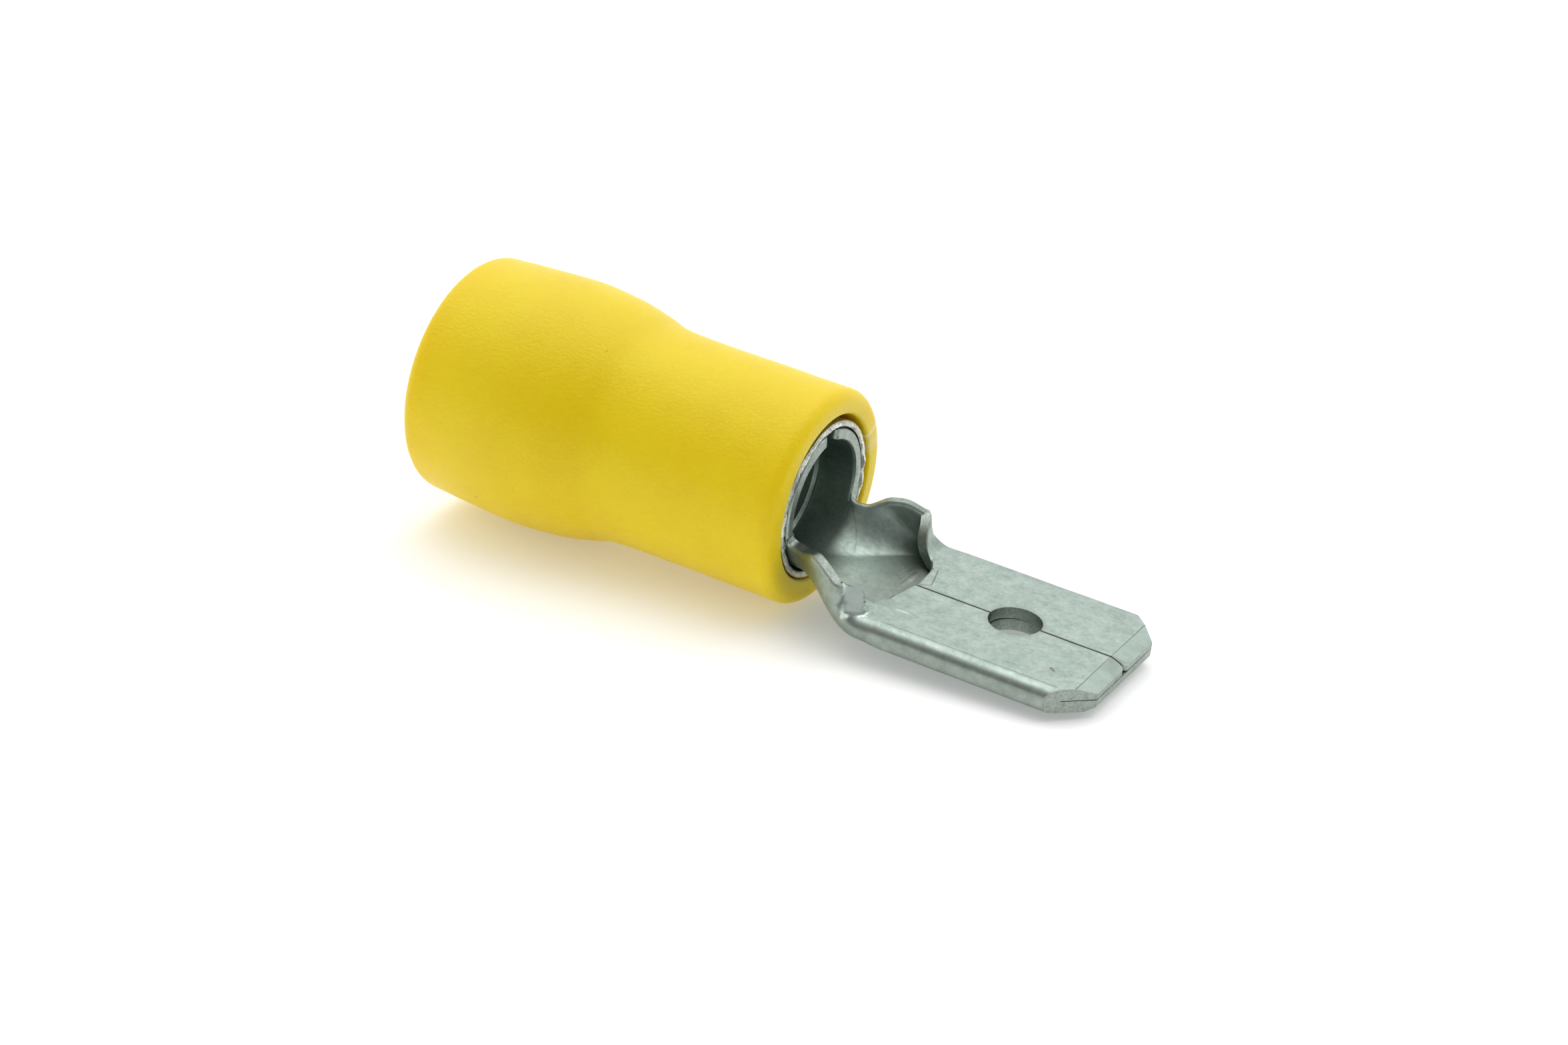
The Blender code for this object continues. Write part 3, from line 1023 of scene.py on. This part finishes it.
    def stations(self) -> list[float]:
        """Places along the terminal where the section is laid out, rear to tip."""
        rear, front, fillet = self.barrel_rear, self.barrel_front, self.corner_fillet
        fold, leaf_rear, crowd = self.fold_start - self.fold_rows, -self.tab_length, self.crowded_rows
        places = [rear]
        places += opening_out(rear, rear + crowd, 4)
        for groove in sorted(self.serration_places):
            places += spread(places[-1], groove - self.groove_rows, 5)
            places += spread(groove - self.groove_rows, groove + self.groove_rows, 8)
        places += spread(places[-1], front - crowd, 6)
        places += closing_in(front - crowd, front, 7)
        places += opening_out(front, front + fillet, 8)
        places += spread(front + fillet, fold, 32)
        places += spread(fold, self.tab_root, 30)
        places += closing_in(self.tab_root, leaf_rear, 12)
        places += opening_out(leaf_rear, leaf_rear + crowd, 6)
        places += spread(leaf_rear + crowd, -self.tip_rows, 30)
        places += closing_in(-self.tip_rows, 0.0, 7)
        return places

    def reaches(self, along: float, side: Side) -> list[float]:
        """Distances along the sheet for one station: floor, bend and wall, then the closing part."""
        section = self.section(along)
        lower = self.edge_reach(along, side)
        upper = self.full_reach(along, side)
        cells = self.floor_cells + self.bend_cells + self.wall_cells
        floor_end = max(section.flat, lower * self.floor_cells / cells)
        whole_bend = section.flat + section.radius * section.turn
        even_bend = mix(floor_end, lower, self.bend_cells / (self.bend_cells + self.wall_cells))
        bend_end = min(whole_bend, even_bend)
        places = [0.0]
        places += spread(0.0, floor_end, self.floor_cells)
        places += spread(floor_end, bend_end, self.bend_cells)
        places += closing_in(bend_end, lower, self.wall_cells)
        eased = [math.pi * i / self.closing_cells for i in range(1, self.closing_cells + 1)]
        return places + [mix(lower, upper, 0.5 - 0.5 * math.cos(angle)) for angle in eased]

    def blank(self) -> Piece:
        """The sheet as a grid laid into its sections, with the neck's open part cut out."""
        stations = self.stations()
        per_side = self.floor_cells + self.bend_cells + self.wall_cells + self.closing_cells
        columns = 2 * per_side + 1
        piece = add(
            "tab_and_barrel",
            bpy.ops.mesh.primitive_grid_add,
            x_subdivisions=len(stations) - 1,
            y_subdivisions=columns - 1,
            size=2.0,
        )
        layout = {side: [self.reaches(along, side) for along in stations] for side in Side}
        weights = piece.vertex_groups.new(name="thickness")
        cells: list[tuple[int, int]] = []
        sheet_places: list[Point] = []
        for vertex in piece.data.vertices:
            row = round((vertex.co.x + 1) / 2 * (len(stations) - 1))
            column = round((vertex.co.y + 1) / 2 * (columns - 1)) - per_side
            side = Side.NEAR if column < 0 else Side.FAR
            reach = layout[side][row][abs(column)]
            cells.append((row, column))
            sheet_places.append((stations[row], reach * side.value))
            vertex.co = self.on_sheet(stations[row], reach, side)
            weights.add([vertex.index], self.edge_weight(stations[row], reach, side), "REPLACE")
        lay_out_pattern(piece, sheet_places)
        lower = per_side - self.closing_cells
        open_rows = [
            self.barrel_front <= rear and front <= -self.tab_length
            for rear, front in zip(stations, stations[1:])
        ]
        with edit_mode(piece):
            bpy.ops.mesh.select_mode(type="FACE")
        for face in piece.data.polygons:
            row = min(cells[corner][0] for corner in face.vertices)
            inner = min(abs(cells[corner][1]) for corner in face.vertices)
            face.select = open_rows[row] and inner >= lower
        with edit_mode(piece):
            bpy.ops.mesh.delete(type="FACE")
        return piece

    def edge_weight(self, along: float, reach: float, side: Side) -> float:
        """The share of the sheet's thickness, less at a free edge, where shearing rounds it."""
        if self.closes(along):
            gap = self.full_reach(along, side) - reach
            if reach > self.edge_reach(along, side) + 0.02:
                gap = min(gap, abs(along - self.barrel_front), abs(along + self.tab_length))
        else:
            gap = self.edge_reach(along, side) - reach
        gap = min(gap, along - self.barrel_rear)
        if along >= -self.tab_length and gap < self.full_reach(along, side) - reach + MERGE:
            return 1 - self.seam_loss * max(1 - gap / self.seam_round, 0.0) ** 2
        if gap >= self.edge_round:
            return 1.0
        missing = 1 - max(gap, 0.0) / self.edge_round
        return 1 - self.edge_loss * missing**2.5

    def on_sheet(self, along: float, reach: float, side: Side) -> Vector:
        """The place of a point of the middle surface, with the press's marks in it."""
        section = self.section(along)
        across, height = section.point(reach)
        place = Vector((along, across * side.value, height))
        angle = section.angle(reach)
        inward = Vector((0.0, -math.sin(angle) * side.value, math.cos(angle)))
        place += inward * self.press_marks(place, reach, side)
        if along > self.fold_start:
            half = self.half(side)
            from_seam = self.leaf - reach
            shift = half.leaf_setback - half.leaf_slant * from_seam
            faded = smoothstep(self.leaf_edge_inset, self.leaf_edge_inset + self.slant_fade, from_seam)
            shift *= 1 - faded
            place.x += shift * (1 - smoothstep(0.0, self.slant_length, abs(along + self.tab_length)))
        return place

    def press_marks(self, place: Vector, reach: float, side: Side) -> float:
        """How far the press has moved the sheet inwards at a point."""
        lift = self.sheet_swell * noise.noise(place * 0.9)
        if side is Side.FAR and place.x < self.facet_front and reach < self.edge_reach(place.x, side):
            lift += self.facet(place.x, place.y)
        return lift

    def facet(self, along: float, across: float) -> float:
        """The depth of the three-cornered flat on the floor's far half, none at its first corner."""
        (ax, ay), (bx, by), (cx, cy) = self.floor_facet
        whole = (by - cy) * (ax - cx) + (cx - bx) * (ay - cy)
        first = ((by - cy) * (along - cx) + (cx - bx) * (across - cy)) / whole
        second = ((cy - ay) * (along - cx) + (ax - cx) * (across - cy)) / whole
        inside = min(first, second, 1 - first - second)
        return self.facet_depth * (1 - first) * smoothstep(-0.02, 0.06, inside)

    def skin(self, piece: Piece) -> None:
        """Work the finished skin: cut the grip lines and square the fold's lower corner."""
        for vertex in piece.data.vertices:
            if vertex.co.x < self.barrel_front:
                away = Vector((0.0, vertex.co.y, vertex.co.z - self.axis_height))
                if away.length < self.barrel_radius:
                    width, places = self.serration_width, self.serration_places
                    depth = max(bump(groove, width, vertex.co.x) for groove in places)
                    vertex.co += away.normalized() * depth * self.serration_depth
            elif vertex.co.x > self.tab_root:
                self.square_fold(vertex)

    def press_shoulder(self, piece: Piece, rubbed_and_highlight: Material) -> None:
        """Flatten the near shoulder, where the wall folds down into the tab's edge.

        Args:
            piece: The terminal, with its tarnish and painted shade laid on.
            rubbed_and_highlight: The lighter material of the flat, partly the press's rubbed mark and partly
                a painted highlight.
        """
        flat = self.shoulder
        facing = Vector(flat.facing).normalized()
        middle = Vector(flat.middle)
        up = (Vector((0.0, 0.0, 1.0)) - facing * facing.z).normalized()
        side = up.cross(facing)
        moves: dict[int, Vector] = {}
        for vertex in piece.data.vertices:
            away = vertex.co - middle
            height = away.dot(facing)
            near = away.length <= flat.reach and abs(height) <= flat.depth
            if not near or vertex.normal.dot(facing) < flat.least_facing:
                continue
            whole, gone = flat.upright
            within = smoothstep(gone, whole, abs(away.dot(up)))
            whole, gone = flat.sideways
            within *= smoothstep(gone, whole, abs(away.dot(side)))
            if within:
                moves[vertex.index] = facing * height * within
        # The flat loses its tarnish and painted shade.
        darkening_values = piece.data.attributes["tarnish_and_shade"].data
        for index, move in moves.items():
            piece.data.vertices[index].co -= move
            darkening_values[index].value = 0.0
        # The flat takes the lighter plate: partly a rubbed mark, partly a painted highlight.
        piece.data.materials.append(rubbed_and_highlight)
        for face in piece.data.polygons:
            if all(corner in moves for corner in face.vertices):
                face.material_index = len(piece.data.materials) - 1

    def square_fold(self, vertex: bpy.types.MeshVertex) -> None:
        """Press the fold's outside towards a squarer shape below than above."""
        middle = Vector((vertex.co.x, math.copysign(self.tab_flat, vertex.co.y), -self.thickness / 2))
        away = vertex.co - middle
        outward = away.y * math.copysign(1.0, vertex.co.y)
        if outward <= 0 or away.length < self.fold_radius or away.length > self.thickness:
            return
        share = smoothstep(self.tab_root, self.tab_root + self.squaring_length, vertex.co.x)
        power = self.lower_squareness if away.z < 0 else self.upper_squareness
        across, up = outward / away.length, abs(away.z) / away.length
        stretch = (across**power + up**power) ** (-1 / power)
        vertex.co = middle + away * mix(1.0, stretch, share)

    def cutters(self, finish: Material, pressed: Material) -> Iterator[Piece]:
        """The shapes that pierce and trim the tab.

        Args:
            finish: The material of a cut face.
            pressed: The material of a pressed slope.

        Returns:
            Each cutter in turn.
        """
        for name, height, shift in (("upper_hole", 0.05, 0.0), ("lower_hole", -0.85, self.hole_shift)):
            yield self.cutter(
                name,
                finish,
                bpy.ops.mesh.primitive_cylinder_add,
                vertices=96,
                radius=self.hole_diameter / 2,
                depth=0.9,
                location=(-self.hole_from_tip + shift, shift, height),
            )
        for sign in (-1, 1):
            normal = Vector((1, sign, 0)).normalized()
            across = sign * (self.tab_width - self.corner_chamfer) / 2
            corner = Vector((-self.corner_chamfer / 2, across, 0))
            yield self.block("corner", finish, corner, normal, (0, 0, math.radians(45 * sign)))
        for sign, (length, depth), face in (
            (1, self.upper_lead, 0.0),
            (-1, self.lower_lead, -self.thickness),
        ):
            slope = math.atan2(depth, length)
            normal = Vector((math.sin(slope), 0, sign * math.cos(slope)))
            middle = Vector((-length / 2, 0, face - sign * depth / 2))
            yield self.block("lead_in", pressed, middle, normal, (0, sign * slope, 0))

    def block(self, name: str, finish: Material, place: Vector, normal: Vector, turn: Triple) -> Piece:
        """A large block with the middle of one face at a place.

        Args:
            name: The name of what it cuts.
            finish: The material of the face that it leaves.
            place: The middle of its cutting face.
            normal: The way from that face into the block.
            turn: The block's turn, in radians.

        Returns:
            The cutter.
        """
        side = 2 * self.tab_width
        where = place + normal * side / 2
        shape = bpy.ops.mesh.primitive_cube_add
        return self.cutter(name, finish, shape, size=side, location=where, rotation=turn)

    def cutter(self, name: str, finish: Material, shape: Callable[..., Any], **settings: Any) -> Piece:
        """Add a shape that cuts, dressed in the finish that it leaves."""
        made = add(name + "_cutter", shape, **settings)
        made.data.materials.append(finish)
        return made

    def tarnish_and_shade(self, piece: Piece) -> None:
        """Mark where handling and the press have browned the plating, and lay painted shade on the trough's
        floor and along the seam.
        """
        layer = piece.data.attributes.new("tarnish_and_shade", "FLOAT", "POINT")
        for vertex in piece.data.vertices:
            layer.data[vertex.index].value = self.tarnish_and_shade_at(vertex.co)

    def tarnish_and_shade_at(self, place: Vector) -> float:
        """How dark the plating is at a place, from 0 to 1: brown tarnish, with painted shade on the trough's
        floor and along the seam.
        """
        x, y, z = place
        off_middle = abs(y)
        fold_corner = 0.30 * bump(-8.2, 0.7, x) * smoothstep(1.6, 2.8, off_middle)
        # Painted shade with some brown tarnish: darker on the trough's floor towards the leaves' rear edges.
        trough_floor = 0.45 * smoothstep(-9.6, -7.6, x)
        on_floor = -0.5 < z < -0.1 and x < -self.tab_length and off_middle < 2.3
        darkening = trough_floor if on_floor else fold_corner
        if x <= self.fold_start:
            return darkening
        tab_edge = 0.35 * smoothstep(2.85, 3.1, off_middle)
        # Painted shade: a dark band along the gap between the leaves.
        seam = 0.9 * bump(0.0, 0.08, y) * smoothstep(-0.5, -0.1, z)
        from_hole = math.hypot(x + self.hole_from_tip, y) - self.hole_diameter / 2
        hole_edge = 0.3 * smoothstep(0.16, 0.02, from_hole)
        return max(darkening, tab_edge, seam, hole_edge)

    def build(self, plate: Material, cut: Material, pressed: Material, rubbed_and_highlight: Material) -> Piece:
        """Make the terminal.

        Args:
            plate: The material of the sheet's faces.
            cut: The material of its sheared edges and cuts.
            pressed: The material of the slopes at its tip.
            rubbed_and_highlight: The lighter material of the flat on its near shoulder, partly a rubbed mark
                and partly a painted highlight.

        Returns:
            The terminal, on its own axes.
        """
        piece = self.blank()
        piece.data.materials.append(plate)
        piece.data.materials.append(cut)
        with edit_mode(piece):
            bpy.ops.mesh.select_all(action="SELECT")
            bpy.ops.mesh.remove_doubles(threshold=MERGE)
            bpy.ops.mesh.delete_loose()
        apply_modifier(
            piece,
            "SOLIDIFY",
            thickness=self.sheet,
            offset=0.0,
            use_quality_normals=True,
            material_offset_rim=1,
            vertex_group="thickness",
        )
        self.skin(piece)
        for cutter in self.cutters(cut, pressed):
            cut_away(piece, cutter)
        self.tarnish_and_shade(piece)
        self.press_shoulder(piece, rubbed_and_highlight)
        shade_by_angle(piece, 32)
        return piece


# ---- Studio ----


@dataclass(frozen=True)
class Studio:
    """A white sweep under soft overhead light, and the camera."""

    azimuth: float = 28.803
    elevation: float = 26.045
    roll: float = 2.969
    distance: float = 100.45 * MM
    aim: Triple = (0.4573 * MM, -0.6003 * MM, -1.5272 * MM)
    lens: float = 74.226
    sensor: float = 36.0
    floor_size: float = 6.0
    sky: tuple[Point, ...] = ((0.0, 0.40), (0.50, 0.42), (0.745, 0.55), (0.925, 0.82), (1.0, 1.0))
    sky_peak: float = 2.05
    dark_side: Triple = (0.48, -0.87, 0.12)
    dark_span: Point = (-0.2, 0.75)
    dark_level: float = 0.22
    key_direction: Triple = (-0.12, 0.25, 1.0)
    key_strength: float = 0.5
    key_angles: Point = (40.0, 10.0)

    def camera(self) -> Piece:
        """Stand the camera at its angle and distance from the middle of the part.

        Returns:
            The camera, which the scene then uses.
        """
        low, high = CAD_BOX
        target = (low + high) / 2 + Vector(self.aim)
        turn, rise = math.radians(self.azimuth), math.radians(self.elevation)
        back = Vector(
            (math.sin(turn) * math.cos(rise), -math.cos(turn) * math.cos(rise), math.sin(rise))
        )
        data = bpy.data.cameras.new("camera")
        data.lens = self.lens
        data.sensor_width = self.sensor
        data.sensor_fit = "HORIZONTAL"
        data.clip_start = MM
        data.clip_end = 20.0
        camera = bpy.data.objects.new("camera", data)
        bpy.context.scene.collection.objects.link(camera)
        facing = back.to_track_quat("Z", "Y").to_matrix().to_4x4()
        place = Matrix.Translation(target + back * self.distance)
        camera.matrix_world = place @ facing @ Matrix.Rotation(math.radians(self.roll), 4, "Z")
        bpy.context.scene.camera = camera
        return camera

    def floor(self) -> Piece:
        """Lay the sweep under the part."""
        place = (0.0, 0.0, CAD_BOX[0].z)
        plane = add("white_floor", bpy.ops.mesh.primitive_plane_add, size=self.floor_size, location=place)
        plane.data.materials.append(WhiteSweep().material())
        return plane

    def light(self) -> None:
        """Light the part from a bright overhead panel and a soft white room."""
        world = bpy.data.worlds.new("soft_room")
        world.use_nodes = True
        bpy.context.scene.world = world
        room = Nodes(world.node_tree)
        where = room.node("TexCoord").outputs["Generated"]
        rise = room.node("SeparateXYZ", {0: where}).outputs["Z"]
        ramp = room.node("ValToRGB", {"Fac": room.between(rise, -1.0, 1.0)})
        stops = ramp.color_ramp.elements
        while len(stops) < len(self.sky):
            stops.new(0.5)
        for stop, (place, level) in zip(stops, self.sky):
            stop.position = place
            stop.color = (level, level, level, 1.0)
        edge, middle = (math.cos(math.radians(angle)) for angle in self.key_angles)
        panel = self.towards(room, where, self.key_direction, (edge, middle), (0.0, self.key_strength))
        shade = self.towards(room, where, self.dark_side, self.dark_span, (1.0, self.dark_level))
        soft = room.sum("MULTIPLY", room.sum("MULTIPLY", ramp.outputs["Color"], self.sky_peak), shade)
        lit = room.sum("ADD", soft, panel)
        room.tree.links.new(lit, room.tree.nodes["Background"].inputs["Color"])

    def towards(
        self, room: Nodes, where: Socket, direction: Triple, span: Point, levels: Point
    ) -> Socket:
        """A level that changes as a ray turns towards a direction.

        Args:
            room: The world's nodes.
            where: The ray's own direction.
            direction: The direction, of any length.
            span: The cosines between which the level changes.
            levels: The level before and after them.

        Returns:
            The level.
        """
        facing = {0: where, 1: Vector(direction).normalized()}
        cosine = room.node("VectorMath", facing, operation="DOT_PRODUCT").outputs["Value"]
        inputs = {"Value": cosine, "From Min": span[0], "From Max": span[1]}
        inputs |= {"To Min": levels[0], "To Max": levels[1]}
        return room.node("MapRange", inputs, interpolation_type="SMOOTHSTEP").outputs["Result"]

    def set_up(self) -> None:
        """Place the camera, the sweep and the light."""
        self.camera()
        self.floor()
        self.light()
        bpy.context.scene.view_settings.view_transform = "Standard"


# ---- The whole terminal ----


SHEET_MARKS = (
    Stroke((-0.51, -6.12), (-0.51, -3.35)),
    Stroke((-0.51, 3.35), (-0.51, 6.12)),
    Stroke((-7.02, 4.87), (-6.80, 5.86)),
    Stroke((-6.80, 5.86), (-7.12, 6.10)),
    Stroke((-6.9, -3.43), (-1.0, -3.43), strength=0.5),
    Stroke((-1.64, -4.32), (-1.50, -4.22), half_width=0.07),
    Stroke((-10.64, 2.50), (-10.16, 1.60), strength=0.3),
    Stroke((-10.16, 1.60), (-9.85, 0.85), strength=0.3),
    Stroke((-6.80, -4.38), (-6.50, -4.40), half_width=0.04, strength=0.5, bright=True),
)


def report(piece: Piece) -> None:
    """Log a piece's name and size."""
    piece.data.calc_loop_triangles()
    count = len(piece.data.loop_triangles)
    size = ", ".join(f"{side * PER_MM:.2f}" for side in piece.dimensions)
    log.info("%s: %d triangles, %s mm", piece.name, count, size)


def fit(piece: Piece, lie: Lie, node: str) -> None:
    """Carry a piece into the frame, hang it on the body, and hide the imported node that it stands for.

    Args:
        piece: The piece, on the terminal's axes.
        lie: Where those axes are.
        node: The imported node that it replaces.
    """
    lie.settle(piece)
    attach(piece, BODY)
    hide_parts(node)
    report(piece)


def main() -> None:
    """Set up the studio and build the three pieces."""
    logging.basicConfig(level=logging.INFO, format="%(name)s: %(message)s")
    Studio().set_up()
    lie = Lie.from_record(frame["record"])
    plate = TinPlate(strokes=SHEET_MARKS).material()
    cut = ShearedMetal().material()
    tube_plate = TinPlate(name="tube_tin_plate", roughness=0.42).material()
    torn = ShearedMetal(
        name="torn_edge", light=(0.80, 0.82, 0.76), dark=(0.34, 0.33, 0.28), grain=12.0, depth=16e-6
    ).material()
    pressed = TinPlate(
        name="pressed_tin_plate", light=(0.38, 0.46, 0.42), dark=(0.29, 0.36, 0.32), roughness=0.42
    ).material()
    # A lighter copy of the plate for the pressed flat on the shoulder: partly a rubbed mark, partly a painted
    # highlight.
    rubbed_and_highlight = TinPlate(
        name="rubbed_and_highlight_tin_plate", light=(0.60, 0.70, 0.645), dark=(0.47, 0.56, 0.51), roughness=0.36
    ).material()
    terminal = TabTerminal().build(plate, cut, pressed, rubbed_and_highlight)
    fit(terminal, lie, "tab_terminal")
    fit(SupportSleeve().build(tube_plate, torn), lie, "support_sleeve")
    fit(InsulatingSleeve().build(MouldedPvc().material()), lie, "insulating_sleeve")


if __name__ == "__main__":
    main()
